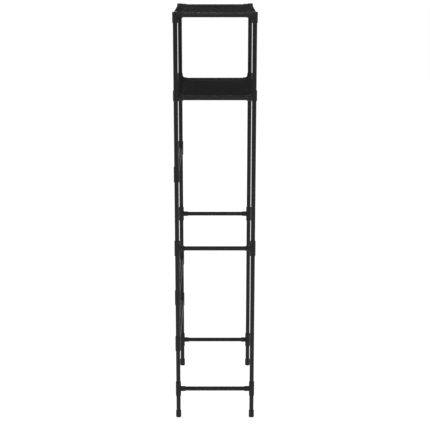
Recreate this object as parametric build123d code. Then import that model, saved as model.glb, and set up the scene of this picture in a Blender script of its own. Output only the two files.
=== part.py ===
from build123d import *
import os

# Over-the-toilet storage rack: a kit of round steel tubes pushed into moulded plastic connectors.
# Two side frames are joined by the long rails that carry two cloth shelves, and by three cross bars
# at the back. The rack stands on four capped feet and leaves a bay for the toilet.
# Units are millimetres. +Z is up, +X is the rack's width (left is -X) and the open front faces -Y.
# The origin is on the floor, at the middle of the rack's plan. Everything is one rigid body.

# Overall layout: distances between post axes, and the height of each level above the floor.
POST_PITCH_X = 510.0
POST_PITCH_Y = 277.0
BOTTOM_BAR_Z = 115.0
CROSS_LOW_Z = 296.5
CROSS_MID_Z = 478.0
MIDDLE_BAR_Z = 668.0
CROSS_HIGH_Z = 944.0
LOWER_SHELF_Z = 1220.5
TOP_SHELF_Z = 1509.0

# Steel tube.
TUBE_D = 16.0
TUBE_WALL = 0.8

# Moulded connectors: sleeves run along the post, arms reach out to the bars and rails.
SOCKET_CLEARANCE = 0.05
SLEEVE_WALL = 2.0
ARM_WALL = 1.7
ARM_REACH = 27.0
TEE_HALF = 28.0
CORNER_LONG = 27.0
CORNER_LIP = 1.25
STOP_HALF = 1.5
STOP_WALL = 2.0
RIM_ROUND = 0.7
CAP_ROUND = 0.9
ARM_BLEND = 2.0
GUSSET_ROUND = 8.5
GUSSET_THICK = 6.0

# Foot caps.
FOOT_HEIGHT = 26.0
FOOT_FLOOR = 4.0
FOOT_ROUND = 1.2

# Cloth shelves: a flat panel with a sewn channel round the front rail and round the back rail.
CLOTH_THICK = 1.2
HEM_THICK = 1.2
HEM_CLEARANCE = 0.1
HEM_SEAM = 17.0
HEM_END_GAP = 1.5

TUBE_R = TUBE_D / 2
BORE_R = TUBE_R + SOCKET_CLEARANCE
SLEEVE_R = BORE_R + SLEEVE_WALL
ARM_R = BORE_R + ARM_WALL
ARM_STOP = BORE_R + STOP_WALL
CORNER_SHORT = ARM_R + CORNER_LIP
HALF_X = POST_PITCH_X / 2
HALF_Y = POST_PITCH_Y / 2

SIDES = {"left": -1, "right": 1}
ENDS = {"front": -1, "back": 1}


def rod(radius, start, direction, length):
    """Solid round bar from a start point along a unit direction."""
    plane = Plane(origin=start, z_dir=direction)
    return plane * Cylinder(radius, length, align=(Align.CENTER, Align.CENTER, Align.MIN))


def tube(start, direction, length):
    """Steel tube from a start point along a unit direction."""
    return rod(TUBE_R, start, direction, length) - rod(TUBE_R - TUBE_WALL, start, direction, length)


def round_rims(body, radius, position, size):
    """Rounds the outer edge circles of a given radius that lie on the given planes of one axis."""
    axis, places = position
    for place in places:
        rims = [
            edge
            for edge in body.edges().filter_by(GeomType.CIRCLE)
            if abs(edge.radius - radius) < 0.01 and abs(axis_value(edge.arc_center, axis) - place) < 0.01
        ]
        body = fillet(rims, size)
    return body


def axis_value(point, axis):
    """The coordinate of a point along the axis named X, Y or Z."""
    return {"X": point.X, "Y": point.Y, "Z": point.Z}[axis]


def arm(direction):
    """Connector arm: a round stub from the post's axis out to its rounded mouth."""
    stub = rod(ARM_R, (0, 0, 0), (0, 0, 1), ARM_REACH)
    stub = round_rims(stub, ARM_R, ("Z", [ARM_REACH]), RIM_ROUND)
    return Plane(origin=(0, 0, 0), z_dir=direction) * stub


def arm_bore(direction):
    """The socket in an arm, from its mouth in to the stop that the bar's end meets."""
    start = Vector(*direction) * ARM_STOP
    return rod(BORE_R, start, direction, ARM_REACH - ARM_STOP)


def sleeve(low, high, low_round, high_round):
    """Connector sleeve along the post from low to high, with each end's outer edge rounded."""
    body = rod(SLEEVE_R, (0, 0, low), (0, 0, 1), high - low)
    body = round_rims(body, SLEEVE_R, ("Z", [low]), low_round)
    return round_rims(body, SLEEVE_R, ("Z", [high]), high_round)


def blend(body):
    """Rounds the inner corner where a tee's arm meets its sleeve."""
    joints = [edge for edge in body.edges() if edge.geom_type not in (GeomType.CIRCLE, GeomType.LINE)]
    return fillet(joints, ARM_BLEND)


def gusset(direction, upward):
    """Web with a hollow-curved edge in the corner between a sleeve and an arm, above or below the arm."""
    reach = SLEEVE_R + GUSSET_ROUND
    rise = ARM_R + GUSSET_ROUND
    dip = GUSSET_ROUND / 2**0.5
    low, middle, high = [(reach, ARM_R), (reach - dip, rise - dip), (SLEEVE_R, rise)]
    edges = Polyline(high, (0, rise), (0, 0), (reach, 0), low) + ThreePointArc(low, middle, high)
    outline = make_face(edges)
    if upward < 0:
        outline = mirror(outline, about=Plane.XZ)
    web_plane = Plane(origin=(0, 0, 0), x_dir=direction, z_dir=Vector(*direction).cross(Vector(0, 0, 1)))
    return web_plane * extrude(outline, amount=GUSSET_THICK / 2, both=True)


def tee(direction):
    """Three-way connector: posts enter from below and above, one bar enters along direction."""
    body = blend(sleeve(-TEE_HALF, TEE_HALF, RIM_ROUND, RIM_ROUND) + arm(direction))
    body -= rod(BORE_R, (0, 0, STOP_HALF), (0, 0, 1), TEE_HALF - STOP_HALF)
    body -= rod(BORE_R, (0, 0, -STOP_HALF), (0, 0, -1), TEE_HALF - STOP_HALF)
    return body - arm_bore(direction)


def lower_corner(side_arm, width_arm):
    """Four-way connector at the lower shelf: its long sleeve stands up and its short one hangs down."""
    body = sleeve(-CORNER_SHORT, CORNER_LONG, RIM_ROUND, RIM_ROUND) + arm(side_arm) + arm(width_arm)
    body += gusset(side_arm, 1) + gusset(width_arm, 1)
    body -= rod(BORE_R, (0, 0, STOP_HALF), (0, 0, 1), CORNER_LONG - STOP_HALF)
    body -= rod(BORE_R, (0, 0, -STOP_HALF), (0, 0, -1), CORNER_SHORT - STOP_HALF)
    return body - arm_bore(side_arm) - arm_bore(width_arm)


def top_corner(side_arm, width_arm):
    """Three-way connector at the top shelf: closed flat top, one post enters from below."""
    body = sleeve(-CORNER_LONG, CORNER_SHORT, RIM_ROUND, CAP_ROUND) + arm(side_arm) + arm(width_arm)
    body += gusset(side_arm, -1) + gusset(width_arm, -1)
    body -= rod(BORE_R, (0, 0, -STOP_HALF), (0, 0, -1), CORNER_LONG - STOP_HALF)
    return body - arm_bore(side_arm) - arm_bore(width_arm)


def foot():
    """Cap on the post's lower end, with a closed floor that the tube stands on."""
    body = sleeve(0, FOOT_HEIGHT, FOOT_ROUND, RIM_ROUND)
    return body - rod(BORE_R, (0, 0, FOOT_FLOOR), (0, 0, 1), FOOT_HEIGHT - FOOT_FLOOR)


def hem(end):
    """Sewn channel round one long rail: a cloth ring drawn together to its seam line."""
    outer_r = TUBE_R + HEM_CLEARANCE + HEM_THICK
    along = outer_r * outer_r / HEM_SEAM
    across = (outer_r * outer_r - along * along) ** 0.5
    lip = CLOTH_THICK / 2
    neck = Polyline((along, across), (HEM_SEAM, lip), (HEM_SEAM, -lip), (along, -across), close=True)
    section = Circle(outer_r) + make_face(neck) - Circle(TUBE_R + HEM_CLEARANCE)
    return Plane(origin=(0, end * HALF_Y, 0), x_dir=(0, -end, 0), z_dir=(1, 0, 0)) * section


def shelf_cloth():
    """One cloth shelf at height zero: the flat panel and its two hems, as wide as the rails are bare."""
    half_width = HALF_X - ARM_REACH - HEM_END_GAP
    panel = Plane.YZ * Rectangle(2 * (HALF_Y - HEM_SEAM), CLOTH_THICK)
    section = panel + hem(-1) + hem(1)
    return extrude(section, amount=half_width, dir=(1, 0, 0), both=True)


parts = {}

# Posts, from the bottom up. A back post also stops at each cross bar's connector.
POST_STOPS = {
    "front": [BOTTOM_BAR_Z, MIDDLE_BAR_Z, LOWER_SHELF_Z, TOP_SHELF_Z],
    "back": [
        BOTTOM_BAR_Z,
        CROSS_LOW_Z,
        CROSS_MID_Z,
        MIDDLE_BAR_Z,
        CROSS_HIGH_Z,
        LOWER_SHELF_Z,
        TOP_SHELF_Z,
    ],
}
for side, x_sign in SIDES.items():
    for end, y_sign in ENDS.items():
        foot_end = FOOT_FLOOR
        for number, level in enumerate(POST_STOPS[end], start=1):
            start = (x_sign * HALF_X, y_sign * HALF_Y, foot_end)
            parts[f"{end}_{side}_post_{number}"] = tube(start, (0, 0, 1), level - STOP_HALF - foot_end)
            foot_end = level + STOP_HALF

# Bars and rails that run from front to back on each side frame.
SIDE_BARS = {
    "bottom_bar": BOTTOM_BAR_Z,
    "middle_bar": MIDDLE_BAR_Z,
    "lower_rail": LOWER_SHELF_Z,
    "top_rail": TOP_SHELF_Z,
}
side_length = POST_PITCH_Y - 2 * ARM_STOP
for side, x_sign in SIDES.items():
    for name, level in SIDE_BARS.items():
        start = (x_sign * HALF_X, -side_length / 2, level)
        parts[f"{side}_side_{name}"] = tube(start, (0, 1, 0), side_length)

# Long rails that carry the cloth, and the cross bars that brace the back.
width_length = POST_PITCH_X - 2 * ARM_STOP
SHELVES = {"lower": LOWER_SHELF_Z, "top": TOP_SHELF_Z}
CROSS_BARS = {"low": CROSS_LOW_Z, "mid": CROSS_MID_Z, "high": CROSS_HIGH_Z}
for shelf, level in SHELVES.items():
    for end, y_sign in ENDS.items():
        start = (-width_length / 2, y_sign * HALF_Y, level)
        parts[f"{end}_{shelf}_rail"] = tube(start, (1, 0, 0), width_length)
for name, level in CROSS_BARS.items():
    parts[f"cross_bar_{name}"] = tube((-width_length / 2, HALF_Y, level), (1, 0, 0), width_length)

# Connectors.
for side, x_sign in SIDES.items():
    for end, y_sign in ENDS.items():
        side_arm = (0, -y_sign, 0)
        width_arm = (-x_sign, 0, 0)
        x, y = x_sign * HALF_X, y_sign * HALF_Y
        parts[f"{end}_{side}_bottom_tee"] = Pos(x, y, BOTTOM_BAR_Z) * tee(side_arm)
        parts[f"{end}_{side}_middle_tee"] = Pos(x, y, MIDDLE_BAR_Z) * tee(side_arm)
        parts[f"{end}_{side}_lower_corner"] = Pos(x, y, LOWER_SHELF_Z) * lower_corner(side_arm, width_arm)
        parts[f"{end}_{side}_top_corner"] = Pos(x, y, TOP_SHELF_Z) * top_corner(side_arm, width_arm)

# The two identical connectors of each cross bar share a node, and so do the four feet.
for name, level in CROSS_BARS.items():
    pair = [Pos(sign * HALF_X, HALF_Y, level) * tee((-sign, 0, 0)) for sign in SIDES.values()]
    parts[f"cross_tees_{name}"] = Compound(children=pair)
feet = [Pos(i * HALF_X, j * HALF_Y, 0) * foot() for i in SIDES.values() for j in ENDS.values()]
parts["feet"] = Compound(children=feet)

# Cloth shelves.
for shelf, level in SHELVES.items():
    parts[f"{shelf}_shelf_cloth"] = Pos(0, 0, level) * shelf_cloth()

os.makedirs("parts", exist_ok=True)
for name, shape in parts.items():
    export_step(shape, f"parts/{name}.step")
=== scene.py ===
import bisect
import bpy
import bmesh
import math
from mathutils import Matrix, Vector, geometry, noise


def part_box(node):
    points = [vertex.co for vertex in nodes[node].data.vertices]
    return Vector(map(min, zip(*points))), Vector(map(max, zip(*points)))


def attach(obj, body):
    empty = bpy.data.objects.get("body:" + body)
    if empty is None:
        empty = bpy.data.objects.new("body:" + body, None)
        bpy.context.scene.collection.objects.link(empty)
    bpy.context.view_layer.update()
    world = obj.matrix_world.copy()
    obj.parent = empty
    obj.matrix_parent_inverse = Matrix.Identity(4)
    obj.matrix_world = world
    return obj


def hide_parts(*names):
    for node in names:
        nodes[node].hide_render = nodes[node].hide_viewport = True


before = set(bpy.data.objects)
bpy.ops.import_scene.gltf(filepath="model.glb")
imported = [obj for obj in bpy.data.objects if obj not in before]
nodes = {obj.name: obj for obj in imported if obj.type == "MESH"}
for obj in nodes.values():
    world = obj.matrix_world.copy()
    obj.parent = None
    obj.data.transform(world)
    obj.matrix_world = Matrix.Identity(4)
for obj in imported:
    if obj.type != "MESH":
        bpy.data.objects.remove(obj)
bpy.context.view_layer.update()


# ---------------------------------------------------------------- camera
# The rack is seen from its left side, at about eye height, from four metres away.
# The lens is long, so its uprights stay almost parallel.
EYE = Vector((-3.980, 0.0, 1.7575))
LOOK_DOWN = math.radians(14.5)
LENS_MM = 88.75
SENSOR_MM = 36.0

camera_data = bpy.data.cameras.new("camera")
camera_data.lens = LENS_MM
camera_data.sensor_width = SENSOR_MM
camera = bpy.data.objects.new("camera", camera_data)
camera.location = EYE
camera.rotation_euler = (math.pi / 2 - LOOK_DOWN, 0.0, -math.pi / 2)
bpy.context.scene.collection.objects.link(camera)
bpy.context.scene.camera = camera
bpy.context.scene.view_settings.view_transform = "Standard"


# ---------------------------------------------------------------- studio
# A plain white floor and backdrop, lit by a long soft box on each side and a square one overhead.
# The long boxes draw the pale lines along the tubes. The camera and the reflections see part of an
# even white glow in place of the lit floor and room, in the two shares given with each.
FLOOR_HALF = 40.0
FLOOR_ALBEDO = (0.90, 0.90, 0.90, 1.0)
FLOOR_GLOW = 1.42
FLOOR_GLOW_SHARES = (0.70, 0.28)
WHITE = (1.0, 1.0, 1.0, 1.0)
BACKDROP_GLOW = 0.98
BACKDROP_SHARES = (1.0, 0.10)
ROOM_LIGHT = 0.050
SOFT_BOXES = [
    ("box_left", (-5.6, -1.6, 3.9), (4.5, 1.0), 58.0),
    ("box_right", (5.6, 1.6, 3.6), (4.0, 1.0), 50.0),
    ("box_front", (1.6, -5.4, 3.2), (3.6, 1.2), 60.0),
    ("box_back", (-1.0, 5.4, 3.0), (3.6, 1.2), 42.0),
    ("box_overhead", (0.0, 0.0, 4.8), (2.4, 2.4), 18.0),
]
BOX_AIM = Vector((0.0, 0.0, 0.8))


def feed(tree, value, socket):
    """Sets a socket to a plain value, or links another node's output to it."""
    if isinstance(value, bpy.types.NodeSocket):
        tree.links.new(value, socket)
    else:
        socket.default_value = value


def add(tree, kind, settings=(), **inputs):
    """A new node of one kind, with its settings and its inputs by name."""
    node = tree.nodes.new("ShaderNode" + kind)
    for name, value in settings:
        setattr(node, name, value)
    for name, value in inputs.items():
        feed(tree, value, node.inputs[name.replace("_", " ")])
    return node


def ray_switch(tree, plain, bright, camera_share, glossy_share):
    """Mixes two shaders: the camera and reflections see a share of the bright one, lighting none."""
    path = add(tree, "LightPath").outputs
    rays = add(tree, "CombineXYZ", X=path["Is Camera Ray"], Y=path["Is Glossy Ray"]).outputs[0]
    share = add(tree, "VectorMath", [("operation", "DOT_PRODUCT")])
    feed(tree, rays, share.inputs[0])
    feed(tree, (camera_share, glossy_share, 0.0), share.inputs[1])
    mix = add(tree, "MixShader", Fac=share.outputs["Value"])
    feed(tree, plain, mix.inputs[1])
    feed(tree, bright, mix.inputs[2])
    return mix.outputs[0]


world = bpy.data.worlds.new("studio")
bpy.context.scene.world = world
world.use_nodes = True
sky = world.node_tree
sky.nodes.clear()
soft = add(sky, "Background", Color=WHITE, Strength=ROOM_LIGHT)
white = add(sky, "Background", Color=WHITE, Strength=BACKDROP_GLOW)
add(sky, "OutputWorld", Surface=ray_switch(sky, soft.outputs[0], white.outputs[0], *BACKDROP_SHARES))

floor_paint = bpy.data.materials.new("studio_floor")
floor_paint.use_nodes = True
floor_tree = floor_paint.node_tree
floor_tree.nodes.clear()
matte = add(floor_tree, "BsdfDiffuse", Color=FLOOR_ALBEDO)
glow = add(floor_tree, "Emission", Color=WHITE, Strength=FLOOR_GLOW)
floor_surface = ray_switch(floor_tree, matte.outputs[0], glow.outputs[0], *FLOOR_GLOW_SHARES)
add(floor_tree, "OutputMaterial", Surface=floor_surface)

floor_mesh = bpy.data.meshes.new("floor")
bm = bmesh.new()
bmesh.ops.create_grid(bm, x_segments=1, y_segments=1, size=FLOOR_HALF)
bm.to_mesh(floor_mesh)
bm.free()
floor_mesh.materials.append(floor_paint)
floor = bpy.data.objects.new("floor", floor_mesh)
bpy.context.scene.collection.objects.link(floor)

for name, place, size, watts in SOFT_BOXES:
    lamp = bpy.data.lights.new(name, "AREA")
    lamp.shape = "RECTANGLE"
    lamp.size, lamp.size_y = size
    lamp.energy = watts
    box_light = bpy.data.objects.new(name, lamp)
    box_light.location = place
    box_light.rotation_euler = (BOX_AIM - Vector(place)).to_track_quat("-Z", "Y").to_euler()
    bpy.context.scene.collection.objects.link(box_light)


# ---------------------------------------------------------------- powder-coated tubes
# The posts, bars and rails are thin-walled steel tube, cut to length and powder coated black.
# Baked powder keeps a faint orange-peel skin, and sliding tubes together leaves light rubs
# along them. Each length is pushed into the sockets of the connectors at its ends.
POWDER_DARK = (0.0125, 0.0128, 0.0135, 1.0)
POWDER_LIGHT = (0.0195, 0.0198, 0.0205, 1.0)
POWDER_RUB = (0.040, 0.040, 0.041, 1.0)
POWDER_ROUGHNESS = (0.32, 0.42)
CLOUD_PER_METRE = 9.0
CLOUD_SPAN = (0.3, 0.7)
PEEL_PER_METRE = 620.0
PEEL_DEPTH = 0.00008
RUB_ACROSS = 420.0
RUB_ALONG = 9.0
RUB_SPAN = (0.60, 0.78)
RUB_SHARE = 0.35
RUB_SHINE = 0.10
RUB_LEVELS = 0.3
DUST = (0.16, 0.155, 0.145, 1.0)
DUST_PER_METRE = 260.0
DUST_SPAN = (0.42, 0.72)
DUST_FACING = (0.35, 1.0)
DUST_SHARE = 0.035
DUST_MATTS = 0.15
TUBE_AXES = {
    "posts": (2, [n for n in nodes if "_post_" in n]),
    "side_bars": (1, [n for n in nodes if "_side_" in n]),
    "rails": (0, [n for n in nodes if n.endswith("_rail") and "_side_" not in n]),
    "cross_bars": (0, [n for n in nodes if n.startswith("cross_bar_")]),
}


def group(name, inputs, outputs):
    """An empty node group. Inputs are name, socket kind and default; outputs are name and kind."""
    tree = bpy.data.node_groups.new(name, "ShaderNodeTree")
    for label, kind, value in inputs:
        socket = tree.interface.new_socket(label, in_out="INPUT", socket_type="NodeSocket" + kind)
        socket.default_value = value
    for label, kind in outputs:
        tree.interface.new_socket(label, in_out="OUTPUT", socket_type="NodeSocket" + kind)
    return tree, tree.nodes.new("NodeGroupInput").outputs, tree.nodes.new("NodeGroupOutput").inputs


def use(tree, shared, **inputs):
    """Places a node group in a material, with its inputs by name."""
    node = tree.nodes.new("ShaderNodeGroup")
    node.node_tree = shared
    for name, value in inputs.items():
        feed(tree, value, node.inputs[name.replace("_", " ")])
    return node.outputs


def calc(tree, operation, *values):
    """The result of one maths operation on numbers or other nodes' outputs."""
    node = tree.nodes.new("ShaderNodeMath")
    node.operation = operation
    for socket, value in zip(node.inputs, values):
        feed(tree, value, socket)
    return node.outputs[0]


def span(tree, value, low, high, start=0.0, end=1.0):
    """Maps a value between low and high to start and end, smoothly and without going past them."""
    settings = [("interpolation_type", "SMOOTHSTEP")]
    ramp = add(tree, "MapRange", settings, Value=value)
    for label, number in (("From Min", low), ("From Max", high), ("To Min", start), ("To Max", end)):
        feed(tree, number, ramp.inputs[label])
    return ramp.outputs["Result"]


def tint(tree, factor, first, second):
    """A colour between two others."""
    mix = tree.nodes.new("ShaderNodeMix")
    mix.data_type = "RGBA"
    feed(tree, factor, mix.inputs[0])
    feed(tree, first, mix.inputs[6])
    feed(tree, second, mix.inputs[7])
    return mix.outputs[2]


def speckle(tree, vector, scale, detail=2.0, roughness=0.5):
    """Soft noise between 0 and 1 over a position."""
    cloud = add(tree, "TexNoise", Vector=vector, Scale=scale, Detail=detail, Roughness=roughness)
    return cloud.outputs["Fac"]


def open_material(name):
    """A new node material: the material, its tree, its one shader and the piece's own coordinates."""
    material = bpy.data.materials.new(name)
    material.use_nodes = True
    tree = material.node_tree
    tree.nodes.clear()
    shader = add(tree, "BsdfPrincipled")
    add(tree, "OutputMaterial", Surface=shader.outputs[0])
    return material, tree, shader, add(tree, "TexCoord").outputs


def coat(node, material):
    """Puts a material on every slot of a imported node."""
    for slot in node.material_slots:
        slot.material = material


# Fine dust settles on faces that look up.
dust, given, result = group("settled_dust", [("Position", "Vector", (0, 0, 0))], [("Mask", "Float")])
facing = add(dust, "SeparateXYZ", Vector=add(dust, "NewGeometry").outputs["Normal"])
upward = span(dust, facing.outputs["Z"], *DUST_FACING)
grit = speckle(dust, given["Position"], DUST_PER_METRE, detail=6.0, roughness=0.65)
patches = span(dust, grit, *DUST_SPAN)
feed(dust, calc(dust, "MULTIPLY", upward, patches), result["Mask"])

powder, given, result = group(
    "powder_coat",
    [("Position", "Vector", (0, 0, 0)), ("Along", "Vector", (0, 0, 0))],
    [("Color", "Color"), ("Roughness", "Float"), ("Height", "Float")],
)
clouds = speckle(powder, given["Position"], CLOUD_PER_METRE)
peel = speckle(powder, given["Position"], PEEL_PER_METRE, detail=1.0)
rubs = span(powder, speckle(powder, given["Along"], 1.0, detail=3.0), *RUB_SPAN)
settled = use(powder, dust, Position=given["Position"])["Mask"]
paint = tint(powder, clouds, POWDER_DARK, POWDER_LIGHT)
paint = tint(powder, calc(powder, "MULTIPLY", rubs, RUB_SHARE), paint, POWDER_RUB)
paint = tint(powder, calc(powder, "MULTIPLY", settled, DUST_SHARE), paint, DUST)
feed(powder, paint, result["Color"])
matt = span(powder, clouds, *CLOUD_SPAN, *POWDER_ROUGHNESS)
matt = calc(powder, "SUBTRACT", matt, calc(powder, "MULTIPLY", rubs, RUB_SHINE))
matt = calc(powder, "ADD", matt, calc(powder, "MULTIPLY", settled, DUST_MATTS))
feed(powder, matt, result["Roughness"])
height = calc(powder, "SUBTRACT", peel, calc(powder, "MULTIPLY", rubs, RUB_LEVELS))
feed(powder, height, result["Height"])

for name, (axis, members) in TUBE_AXES.items():
    material, tree, shader, own = open_material("powder_coated_" + name)
    stretch = Vector((RUB_ACROSS, RUB_ACROSS, RUB_ACROSS))
    stretch[axis] = RUB_ALONG
    along = add(tree, "Mapping", Vector=own["Object"], Scale=stretch).outputs[0]
    skin = use(tree, powder, Position=own["Object"], Along=along)
    feed(tree, skin["Color"], shader.inputs["Base Color"])
    feed(tree, skin["Roughness"], shader.inputs["Roughness"])
    bump = add(tree, "Bump", Height=skin["Height"], Distance=PEEL_DEPTH)
    feed(tree, bump.outputs[0], shader.inputs["Normal"])
    for member in members:
        coat(nodes[member], material)


# ---------------------------------------------------------------- moulded connectors
# Tees and corners are injection-moulded in black plastic, each in a two-part mould that leaves a
# fine line round it where the halves meet. The skin is finely grained; the rims of the sockets
# are handled most and have gone a little smooth, and their paler colour is partly wear and partly
# a painted highlight along the rim edges.
PLASTIC_DARK = (0.0150, 0.0152, 0.0160, 1.0)
PLASTIC_LIGHT = (0.0215, 0.0218, 0.0225, 1.0)
# Pale rim colour: partly wear, partly a painted highlight along the socket edges.
PLASTIC_RIM_WEAR_AND_HIGHLIGHT = (0.052, 0.052, 0.053, 1.0)
PLASTIC_ROUGHNESS = (0.40, 0.52)
FLOW_PER_METRE = 34.0
FLOW_SPAN = (0.3, 0.7)
GRAIN_PER_METRE = 2100.0
GRAIN_DEPTH = 0.00006
MOULD_LINE_HALF = 0.00022
MOULD_LINE_RISE = 2.2
RIM_FADE = 0.0016
RIM_WEAR_AND_HIGHLIGHT_SHARE = 0.80
RIM_SHINE = 0.14
RIM_LEVELS = 0.6
RIM_PATCH_PER_METRE = 300.0
RIM_PATCH_SPAN = (0.38, 0.66)
RIM_PATCH_SHARES = (0.15, 1.0)

moulding, given, result = group(
    "moulded_skin",
    [("Position", "Vector", (0, 0, 0)), ("Rim", "Float", 0.0), ("Line", "Float", 0.0)],
    [("Color", "Color"), ("Roughness", "Float"), ("Height", "Float")],
)
grain = speckle(moulding, given["Position"], GRAIN_PER_METRE, detail=1.0)
flow = speckle(moulding, given["Position"], FLOW_PER_METRE, detail=3.0)
rim_wear_and_highlight_patches = speckle(moulding, given["Position"], RIM_PATCH_PER_METRE, detail=4.0, roughness=0.7)
rim_wear_and_highlight_patches = span(moulding, rim_wear_and_highlight_patches, *RIM_PATCH_SPAN, *RIM_PATCH_SHARES)
rim_wear_and_highlight = calc(moulding, "MULTIPLY", given["Rim"], rim_wear_and_highlight_patches)
settled = use(moulding, dust, Position=given["Position"])["Mask"]
skin_colour = tint(moulding, flow, PLASTIC_DARK, PLASTIC_LIGHT)
# The socket rims are tinted paler: partly wear, partly a painted highlight along the rim edges.
skin_colour = tint(moulding, calc(moulding, "MULTIPLY", rim_wear_and_highlight, RIM_WEAR_AND_HIGHLIGHT_SHARE), skin_colour, PLASTIC_RIM_WEAR_AND_HIGHLIGHT)
skin_colour = tint(moulding, calc(moulding, "MULTIPLY", settled, DUST_SHARE), skin_colour, DUST)
feed(moulding, skin_colour, result["Color"])
matt = span(moulding, flow, *FLOW_SPAN, *PLASTIC_ROUGHNESS)
matt = calc(moulding, "SUBTRACT", matt, calc(moulding, "MULTIPLY", rim_wear_and_highlight, RIM_SHINE))
feed(moulding, matt, result["Roughness"])
flattened = calc(moulding, "MULTIPLY", rim_wear_and_highlight, RIM_LEVELS)
texture = calc(moulding, "MULTIPLY", grain, calc(moulding, "SUBTRACT", 1.0, flattened))
ridge = calc(moulding, "MULTIPLY", given["Line"], MOULD_LINE_RISE)
feed(moulding, calc(moulding, "ADD", texture, ridge), result["Height"])

limits = [(label, "Float", 0.0) for label in ("Reach", "Top", "Foot")]
rims, given, result = group(
    "socket_rims",
    [("Place", "Vector", (0, 0, 0))] + limits,
    [("Mask", "Float")],
)
apart = add(rims, "SeparateXYZ", Vector=given["Place"]).outputs
edge = 0.0
for inward, limit in (
    (calc(rims, "MULTIPLY", apart["X"], -1.0), given["Reach"]),
    (calc(rims, "MULTIPLY", apart["Y"], -1.0), given["Reach"]),
    (apart["Z"], given["Top"]),
    (calc(rims, "MULTIPLY", apart["Z"], -1.0), given["Foot"]),
):
    short = calc(rims, "SUBTRACT", limit, inward)
    edge = calc(rims, "MAXIMUM", edge, span(rims, short, RIM_FADE, 0.0))
feed(rims, edge, result["Mask"])


def moulded_material(name, centre, reach, top, foot, line_axis):
    """Plastic for the connectors at one level. Their post axes, folded to the positive side in X and
    Y, pass through centre, and their rims are reach, top and foot away from it."""
    material, tree, shader, own = open_material(name)
    folded = add(tree, "VectorMath", [("operation", "ABSOLUTE")])
    feed(tree, own["Object"], folded.inputs[0])
    place = add(tree, "VectorMath", [("operation", "SUBTRACT")])
    feed(tree, folded.outputs[0], place.inputs[0])
    feed(tree, centre, place.inputs[1])
    rim = use(tree, rims, Place=place.outputs[0], Reach=reach, Top=top, Foot=foot)["Mask"]
    away = add(tree, "SeparateXYZ", Vector=place.outputs[0]).outputs[line_axis]
    line = span(tree, calc(tree, "ABSOLUTE", away), MOULD_LINE_HALF, 0.0)
    skin = use(tree, moulding, Position=own["Object"], Rim=rim, Line=line)
    feed(tree, skin["Color"], shader.inputs["Base Color"])
    feed(tree, skin["Roughness"], shader.inputs["Roughness"])
    bump = add(tree, "Bump", Height=skin["Height"], Distance=GRAIN_DEPTH)
    feed(tree, bump.outputs[0], shader.inputs["Normal"])
    return material


def middle(name):
    """The centre of a node's box."""
    low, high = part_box(name)
    return (low + high) / 2


def at_level(level):
    """A point at a height on the posts' axis, folded to the positive side in X and Y."""
    post = middle("front_left_post_1")
    return Vector((abs(post.x), abs(post.y), level))


arm_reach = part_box("front_left_bottom_tee")[1].y + at_level(0.0).y
for kind in ("bottom", "middle"):
    low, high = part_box("front_left_" + kind + "_tee")
    half = (high.z - low.z) / 2
    level = middle("left_side_" + kind + "_bar").z
    plastic = moulded_material(kind + "_tee_plastic", at_level(level), arm_reach, half, half, "X")
    for name in [n for n in nodes if n.endswith(kind + "_tee")]:
        coat(nodes[name], plastic)

shelf_levels = {shelf: middle("front_" + shelf + "_rail").z for shelf in ("lower", "top")}
for shelf, level in shelf_levels.items():
    low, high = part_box("front_left_" + shelf + "_corner")
    top, foot = high.z - level, level - low.z
    plastic = moulded_material(shelf + "_corner_plastic", at_level(level), arm_reach, top, foot, "Z")
    for name in [n for n in nodes if n.endswith(shelf + "_corner")]:
        coat(nodes[name], plastic)

for name in [n for n in nodes if n.startswith("cross_tees_")]:
    low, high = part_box(name)
    half = (high.z - low.z) / 2
    level = (low.z + high.z) / 2
    coat(nodes[name], moulded_material(name + "_plastic", at_level(level), arm_reach, half, half, "Y"))


# ---------------------------------------------------------------- foot caps
# Four plastic caps pushed on the posts' lower ends, with a closed floor that the tube stands on.
# They are moulded like the connectors, parted from front to back, and paler round the top rim and
# the edge that slides on the floor: partly scuffs, partly a painted highlight along these edges.
# They have no side arms, so the reach is set far beyond them.
NO_ARMS = 1.0
foot_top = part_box("feet")[1].z
foot_plastic = moulded_material("foot_cap_plastic", at_level(0.0), NO_ARMS, foot_top, 0.0, "Y")
coat(nodes["feet"], foot_plastic)


# ---------------------------------------------------------------- cloth shelves
# Each shelf is one piece of black woven polyester, cut wide and hemmed at its two sides. Its front
# and back edges are turned under and sewn in two rows, which makes a channel that the long rail
# is pushed through, and the rails hold the panel between them tight.
CLOTH = 0.0008
LAYER = 0.00090
CHANNEL_R = 0.00885
CHANNEL_SLACK = 0.0004
CHANNEL_BEND = 0.0050
SEAM_BEND = 0.0035
SEAM_IN = 0.0172
FLAP_IN = 0.0262
HEM_TURN = 0.010
HEM_RAMP = 0.012
HEM_ROW = 0.0078
SEAM_ROWS = (SEAM_IN + 0.0010, FLAP_IN - 0.0024)
STITCH_PITCH = 0.0036
MIDDLE_SAG = 0.0026
EDGE_SAG = 0.0012
EDGE_SAG_WIDTH = 0.07
TENSION_LINE = 0.00085
TENSION_PER_METRE = (27.0, 5.0)
TENSION_FADE = 0.030
GATHER = 0.00042
GATHER_PER_METRE = (95.0, 9.0)
GATHER_REACH = 0.016
GATHER_FADE = 0.006
GATHER_SEED = 7.0
CREASE = 0.00030
CREASE_PER_METRE = (38.0, 60.0)
CREASE_FADE = 0.008
CREASE_SEED = 3.0
SHELF_SEED = 13.0
COLUMN_STEP = 0.0030
PANEL_STEP = 0.0070
ARC_STEPS = 26
BEND_STEPS = 8
FLAP_STEPS = 4
HEM_STEPS = 4
THREADS_PER_METRE = 1150.0
WEAVE_DEPTH = 0.00024
SLUBS_ACROSS = 900.0
WARP_SLUBS_ALONG = 22.0
WEFT_SLUBS_ALONG = 18.0
SLUB_SPAN = (0.7, 1.3)
CLOTH_ROUGHNESS = (0.80, 0.94)
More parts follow.
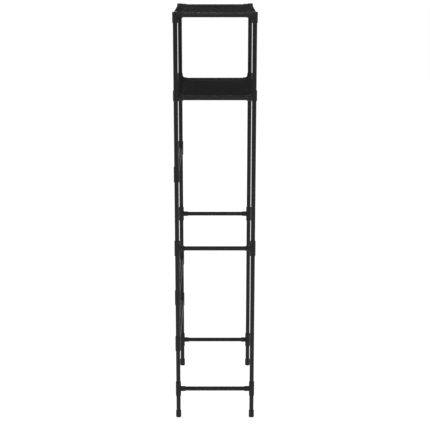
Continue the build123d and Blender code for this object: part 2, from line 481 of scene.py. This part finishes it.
CLOTH_SPECULAR = 0.06
THREAD_DARK = (0.0110, 0.0112, 0.0122, 1.0)
THREAD_LIGHT = (0.0460, 0.0466, 0.0490, 1.0)
PAINTED_WEAVE_SHADE = 1.6
SHADE_SPAN = (0.9, 2.4)
LINT = (0.085, 0.084, 0.080, 1.0)
LINT_PER_METRE = 520.0
LINT_SPAN = (0.70, 0.80)
LINT_SHARE = 0.30
DIMPLE_HALF = 0.0017
DIMPLE_DEPTH = 1.6
DIMPLE_RIPPLE = 0.35


def channel(half_pitch):
    """Half of a shelf's cross-section, in Y and Z from the shelf's middle: the flap under the
    panel, round the front rail, and back to the seam on top."""
    tangent = math.acos(CHANNEL_R / (SEAM_IN - CHANNEL_SLACK))
    leave = Vector((CHANNEL_SLACK + CHANNEL_R * math.cos(tangent), CHANNEL_R * math.sin(tangent)))
    slope = Vector((math.sin(tangent), -math.cos(tangent))) * CHANNEL_BEND
    seam = Vector((SEAM_IN, LAYER / 2))
    pull = Vector((-SEAM_BEND, 0.0))
    over = geometry.interpolate_bezier(leave, leave + slope, seam + pull, seam, BEND_STEPS)
    under = [Vector((p.x, -p.y)) for p in reversed(over)]
    turn_in = (SEAM_IN - FLAP_IN) / FLAP_STEPS
    flap = [Vector((FLAP_IN + i * turn_in, -LAYER / 2)) for i in range(FLAP_STEPS)]
    around = []
    for i in range(1, ARC_STEPS):
        turn = -tangent - i * (2 * math.pi - 2 * tangent) / ARC_STEPS
        around.append(Vector((CHANNEL_SLACK + CHANNEL_R * math.cos(turn), CHANNEL_R * math.sin(turn))))
    return [Vector((p.x - half_pitch, p.y)) for p in flap + under + around + over]


def developed(points):
    """The flat length from the first point to each of the others."""
    total = [0.0]
    for a, b in zip(points, points[1:]):
        total.append(total[-1] + (b - a).length)
    return total


def ease(value):
    """Nought to one with a soft start and end."""
    value = min(max(value, 0.0), 1.0)
    return value * value * (3 - 2 * value)


def ripple(x, y, per_metre, seed):
    """Soft noise around nought over a flat place, with its own scale each way."""
    return noise.noise(Vector((x * per_metre[0], y * per_metre[1], seed)))


class Shelf:
    """The way one flat cut of cloth lies once it is sewn and on its rails."""

    def __init__(self, name, level, seed):
        self.name, self.level, self.seed = name, level, seed
        self.rails = ["front_" + name + "_rail", "back_" + name + "_rail"]
        self.half_pitch = middle(self.rails[1]).y
        self.half_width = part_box(name + "_shelf_cloth")[1].x
        self.seam_y = self.half_pitch - SEAM_IN
        front = channel(self.half_pitch)
        back = [Vector((-p.x, p.y)) for p in reversed(front)]
        steps = round(2 * self.seam_y / PANEL_STEP)
        panel = [front[-1].lerp(back[0], i / steps) for i in range(1, steps)]
        self.section = front + panel + back
        self.run = developed(self.section)
        self.out = []
        last = len(self.section) - 1
        for i in range(last + 1):
            along = (self.section[min(i + 1, last)] - self.section[max(i - 1, 0)]).normalized()
            self.out.append(Vector((-along.y, along.x)))

    def lift(self, x):
        """How far the outer layer is off the inner one near a side hem."""
        return LAYER * ease((abs(x) - self.half_width + HEM_TURN + HEM_RAMP) / HEM_RAMP)

    def settle(self, x, y):
        """How far the tight panel has left its plane: sag, tension lines and gathers at the seams."""
        inside = self.seam_y - abs(y)
        if inside <= 0:
            return 0.0
        belly = 1 - (y / self.seam_y) ** 2
        side = max(0.0, (abs(x) - self.half_width + EDGE_SAG_WIDTH) / EDGE_SAG_WIDTH) ** 2
        sag = belly * (MIDDLE_SAG + EDGE_SAG * side)
        lines = ripple(x, y, TENSION_PER_METRE, self.seed) * ease(inside / TENSION_FADE)
        gathers = ripple(x, y, GATHER_PER_METRE, self.seed + GATHER_SEED)
        gathers *= math.exp(-inside / GATHER_REACH)
        return lines * TENSION_LINE + gathers * GATHER * ease(inside / GATHER_FADE) - sag

    def formed(self, x, cut, off):
        """The place of a point of the flat cut, off its middle surface, on the finished shelf."""
        i = min(bisect.bisect_right(self.run, cut), len(self.run) - 1) - 1
        part = (cut - self.run[i]) / (self.run[i + 1] - self.run[i])
        place = self.section[i].lerp(self.section[i + 1], part)
        if abs(place.x) > self.seam_y:
            crease = max(0.0, ripple(x, cut, CREASE_PER_METRE, self.seed + CREASE_SEED))
            off += CREASE * crease * ease((abs(place.x) - self.seam_y) / CREASE_FADE)
        place = place + self.out[i].lerp(self.out[i + 1], part).normalized() * off
        return Vector((x, place.x, self.level + place.y + self.settle(x, place.x)))

    def stations(self):
        """Places across the cut, in X, with the lift off the inner layer and the flat distance.
        The last ones turn under at each side and come back as the hem's inner layer."""
        count = round(self.half_width / COLUMN_STEP)
        across = [self.half_width * i / count for i in range(count + 1)]
        right = [(x, self.lift(x)) for x in across]
        for turn in (45, 90, 135):
            angle = math.radians(turn)
            fold_x = self.half_width + math.sin(angle) * LAYER / 2
            right.append((fold_x, LAYER / 2 * (1 + math.cos(angle))))
        right += [(self.half_width - HEM_TURN * i / HEM_STEPS, 0.0) for i in range(HEM_STEPS + 1)]
        flat = developed([Vector(s) for s in right])
        right = [(x, lift, run) for (x, lift), run in zip(right, flat)]
        return [(-x, lift, -run) for x, lift, run in reversed(right[1:])] + right


shelves = []
for name, level in shelf_levels.items():
    shelves.append(Shelf(name, level, len(shelves) * SHELF_SEED))

cloth_material, tree, shader, own = open_material("woven_polyester")
threads = add(tree, "VectorMath", [("operation", "SCALE")], Scale=THREADS_PER_METRE * math.pi)
feed(tree, own["UV"], threads.inputs[0])
thread = add(tree, "SeparateXYZ", Vector=threads.outputs[0]).outputs
warp = calc(tree, "SINE", thread["X"])
weft = calc(tree, "SINE", thread["Y"])
crossing = calc(tree, "MULTIPLY", calc(tree, "MULTIPLY", warp, weft), 0.5)
over = calc(tree, "MULTIPLY", calc(tree, "ABSOLUTE", warp), calc(tree, "ADD", 0.5, crossing))
under = calc(tree, "MULTIPLY", calc(tree, "ABSOLUTE", weft), calc(tree, "SUBTRACT", 0.5, crossing))
weave = calc(tree, "MAXIMUM", over, under)
slubs = 0.0
for stretch in ((SLUBS_ACROSS, WARP_SLUBS_ALONG, 1.0), (WEFT_SLUBS_ALONG, SLUBS_ACROSS, 1.0)):
    lie = add(tree, "Mapping", Vector=own["UV"], Scale=stretch).outputs[0]
    slubs = calc(tree, "ADD", slubs, speckle(tree, lie, 1.0, detail=1.0))
# The cloth's colour follows the weave's height: painted shade in the gaps between threads and painted
# highlight on their raised crowns; the slubs add the threads' real random tone.
shade = span(tree, calc(tree, "MULTIPLY_ADD", weave, PAINTED_WEAVE_SHADE, slubs), *SHADE_SPAN)
thread_tone_and_painted_weave_shade = tint(tree, shade, THREAD_DARK, THREAD_LIGHT)
lint = speckle(tree, own["Object"], LINT_PER_METRE, detail=8.0, roughness=0.75)
lint = calc(tree, "MULTIPLY", span(tree, lint, *LINT_SPAN), LINT_SHARE)
feed(tree, tint(tree, lint, thread_tone_and_painted_weave_shade, LINT), shader.inputs["Base Color"])
feed(tree, span(tree, slubs, *SLUB_SPAN, *CLOTH_ROUGHNESS), shader.inputs["Roughness"])
shader.inputs["Specular IOR Level"].default_value = CLOTH_SPECULAR

# The thread draws the cloth down into a row of dimples along each seam and hem.
flat = add(tree, "SeparateXYZ", Vector=own["UV"]).outputs
length = shelves[0].run[-1]
from_middle = calc(tree, "ABSOLUTE", calc(tree, "SUBTRACT", flat["Y"], length / 2))
from_centre = calc(tree, "ABSOLUTE", flat["X"])
rows = [(from_centre, shelves[0].half_width - HEM_ROW, flat["Y"])]
for row in SEAM_ROWS:
    rows.append((from_middle, shelves[0].half_pitch - row, flat["X"]))
    rows.append((from_middle, length / 2 - FLAP_IN + row, flat["X"]))
dimples = 0.0
for across, place, along in rows:
    beside = calc(tree, "ABSOLUTE", calc(tree, "SUBTRACT", across, place))
    pinch = calc(tree, "COSINE", calc(tree, "MULTIPLY", along, 2 * math.pi / STITCH_PITCH))
    pinch = calc(tree, "MULTIPLY_ADD", pinch, DIMPLE_RIPPLE, 1 - DIMPLE_RIPPLE)
    dimple = calc(tree, "MULTIPLY", span(tree, beside, DIMPLE_HALF, 0.0), pinch)
    dimples = calc(tree, "ADD", dimples, dimple)
relief = calc(tree, "SUBTRACT", weave, calc(tree, "MULTIPLY", dimples, DIMPLE_DEPTH))
bump = add(tree, "Bump", Height=relief, Distance=WEAVE_DEPTH)
feed(tree, bump.outputs[0], shader.inputs["Normal"])

cloths = {}
for shelf in shelves:
    stations = shelf.stations()
    across, along = len(stations) - 1, len(shelf.run) - 1
    bm = bmesh.new()
    bmesh.ops.create_grid(bm, x_segments=across, y_segments=along, size=0.5)
    cut_map = bm.loops.layers.uv.new("cut")
    spots = {v: (round((v.co.x + 0.5) * across), round((v.co.y + 0.5) * along)) for v in bm.verts}
    for face in bm.faces:
        face.smooth = True
        for loop in face.loops:
            i, j = spots[loop.vert]
            loop[cut_map].uv = (stations[i][2], shelf.run[j])
    for vert, (i, j) in spots.items():
        x, lift = stations[i][:2]
        vert.co = shelf.formed(x, shelf.run[j], lift)
    mesh = bpy.data.meshes.new(shelf.name + "_shelf_fabric")
    bm.to_mesh(mesh)
    bm.free()
    mesh.materials.append(cloth_material)
    cloth = bpy.data.objects.new(shelf.name + "_shelf_fabric", mesh)
    bpy.context.scene.collection.objects.link(cloth)
    body = cloth.modifiers.new("cloth_thickness", "SOLIDIFY")
    body.thickness = CLOTH
    body.offset = 0.0
    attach(cloth, "root")
    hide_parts(shelf.name + "_shelf_cloth")
    cloths[shelf.name] = cloth


# ---------------------------------------------------------------- sewing thread
# The channels and side hems are lockstitched with black polyester thread, so a row shows on both
# faces of the cloth. Each stitch lies a little way into the weave.
THREAD_R = 0.00032
STITCH_HALF = 0.00150
STITCH_FLATNESS = 0.8
STITCH_STANDS = 0.2
ROW_MARGIN = 0.004
STITCH_DARK = (0.030, 0.030, 0.032, 1.0)
STITCH_LIGHT = (0.075, 0.075, 0.080, 1.0)
THREAD_ROUGHNESS = (0.70, 0.55)
PLY_TURN = math.radians(38)
PLY_PER_METRE = 320.0
PLY_WAVER = 1.5
PLY_DEPTH = 0.00005

thread_material, tree, shader, own = open_material("sewing_thread")
twist = add(tree, "Mapping", Vector=own["Object"], Rotation=(0.0, 0.0, PLY_TURN)).outputs[0]
ply = add(tree, "TexWave", Vector=twist, Scale=PLY_PER_METRE, Distortion=PLY_WAVER).outputs["Fac"]
# The thread's colour follows the ply's height: painted shade between the twisted plies and painted
# highlight on their crowns.
feed(tree, tint(tree, ply, STITCH_DARK, STITCH_LIGHT), shader.inputs["Base Color"])
feed(tree, span(tree, ply, 0.0, 1.0, *THREAD_ROUGHNESS), shader.inputs["Roughness"])
bump = add(tree, "Bump", Height=ply, Distance=PLY_DEPTH)
feed(tree, bump.outputs[0], shader.inputs["Normal"])


def stitch_row(length):
    """A straight row of stitches along X, centred, as long as will fit."""
    count = int(length / STITCH_PITCH)
    bm = bmesh.new()
    lengthwise = Matrix.Rotation(math.pi / 2, 4, "Y")
    shape = Matrix.Diagonal((STITCH_HALF, THREAD_R, THREAD_R * STITCH_FLATNESS, 1.0)) @ lengthwise
    shape = Matrix.Translation(((1 - count) / 2 * STITCH_PITCH, 0, 0)) @ shape
    bmesh.ops.create_uvsphere(bm, u_segments=6, v_segments=4, radius=1.0, matrix=shape)
    one = bm.verts[:] + bm.edges[:] + bm.faces[:]
    step = (STITCH_PITCH, 0, 0)
    bmesh.ops.spin(bm, geom=one, dvec=step, axis=(0, 0, 1), steps=count - 1, use_duplicate=True)
    for face in bm.faces:
        face.smooth = True
    row = bpy.data.meshes.new("stitch_row")
    bm.to_mesh(row)
    bm.free()
    return row


def sew(bm, row, place):
    """Adds a row to the thread, with each of its points taken to the cloth by place."""
    start = len(bm.verts)
    bm.from_mesh(row)
    bm.verts.ensure_lookup_table()
    for vert in bm.verts[start:]:
        vert.co = place(vert.co.copy())


skin = CLOTH / 2 + THREAD_R * STITCH_STANDS
for shelf in shelves:
    length = shelf.run[-1]
    bm = bmesh.new()
    seam = stitch_row(2 * (shelf.half_width - ROW_MARGIN))
    for row in SEAM_ROWS:
        for end in (-1, 1):
            for outward in (shelf.half_pitch - row, length / 2 - FLAP_IN + row):
                cut = length / 2 + end * outward
                sew(bm, seam, lambda p: shelf.formed(p.x, cut + p.y, shelf.lift(p.x) + skin + p.z))
    whole = stitch_row(length - ROW_MARGIN)
    panel = stitch_row(2 * (shelf.half_pitch - FLAP_IN - ROW_MARGIN))
    for end in (-1, 1):
        x = end * (shelf.half_width - HEM_ROW)
        sew(bm, whole, lambda p: shelf.formed(x - p.y, length / 2 + p.x, LAYER + skin + p.z))
        sew(bm, panel, lambda p: shelf.formed(x - p.y, length / 2 + p.x, p.z - skin))
    mesh = bpy.data.meshes.new(shelf.name + "_shelf_stitching")
    bm.to_mesh(mesh)
    bm.free()
    mesh.materials.append(thread_material)
    stitching = bpy.data.objects.new(shelf.name + "_shelf_stitching", mesh)
    bpy.context.scene.collection.objects.link(stitching)
    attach(stitching, "root")
    size = (2 * shelf.stations()[-1][2], length)
    cloth = cloths[shelf.name]


bpy.context.view_layer.update()
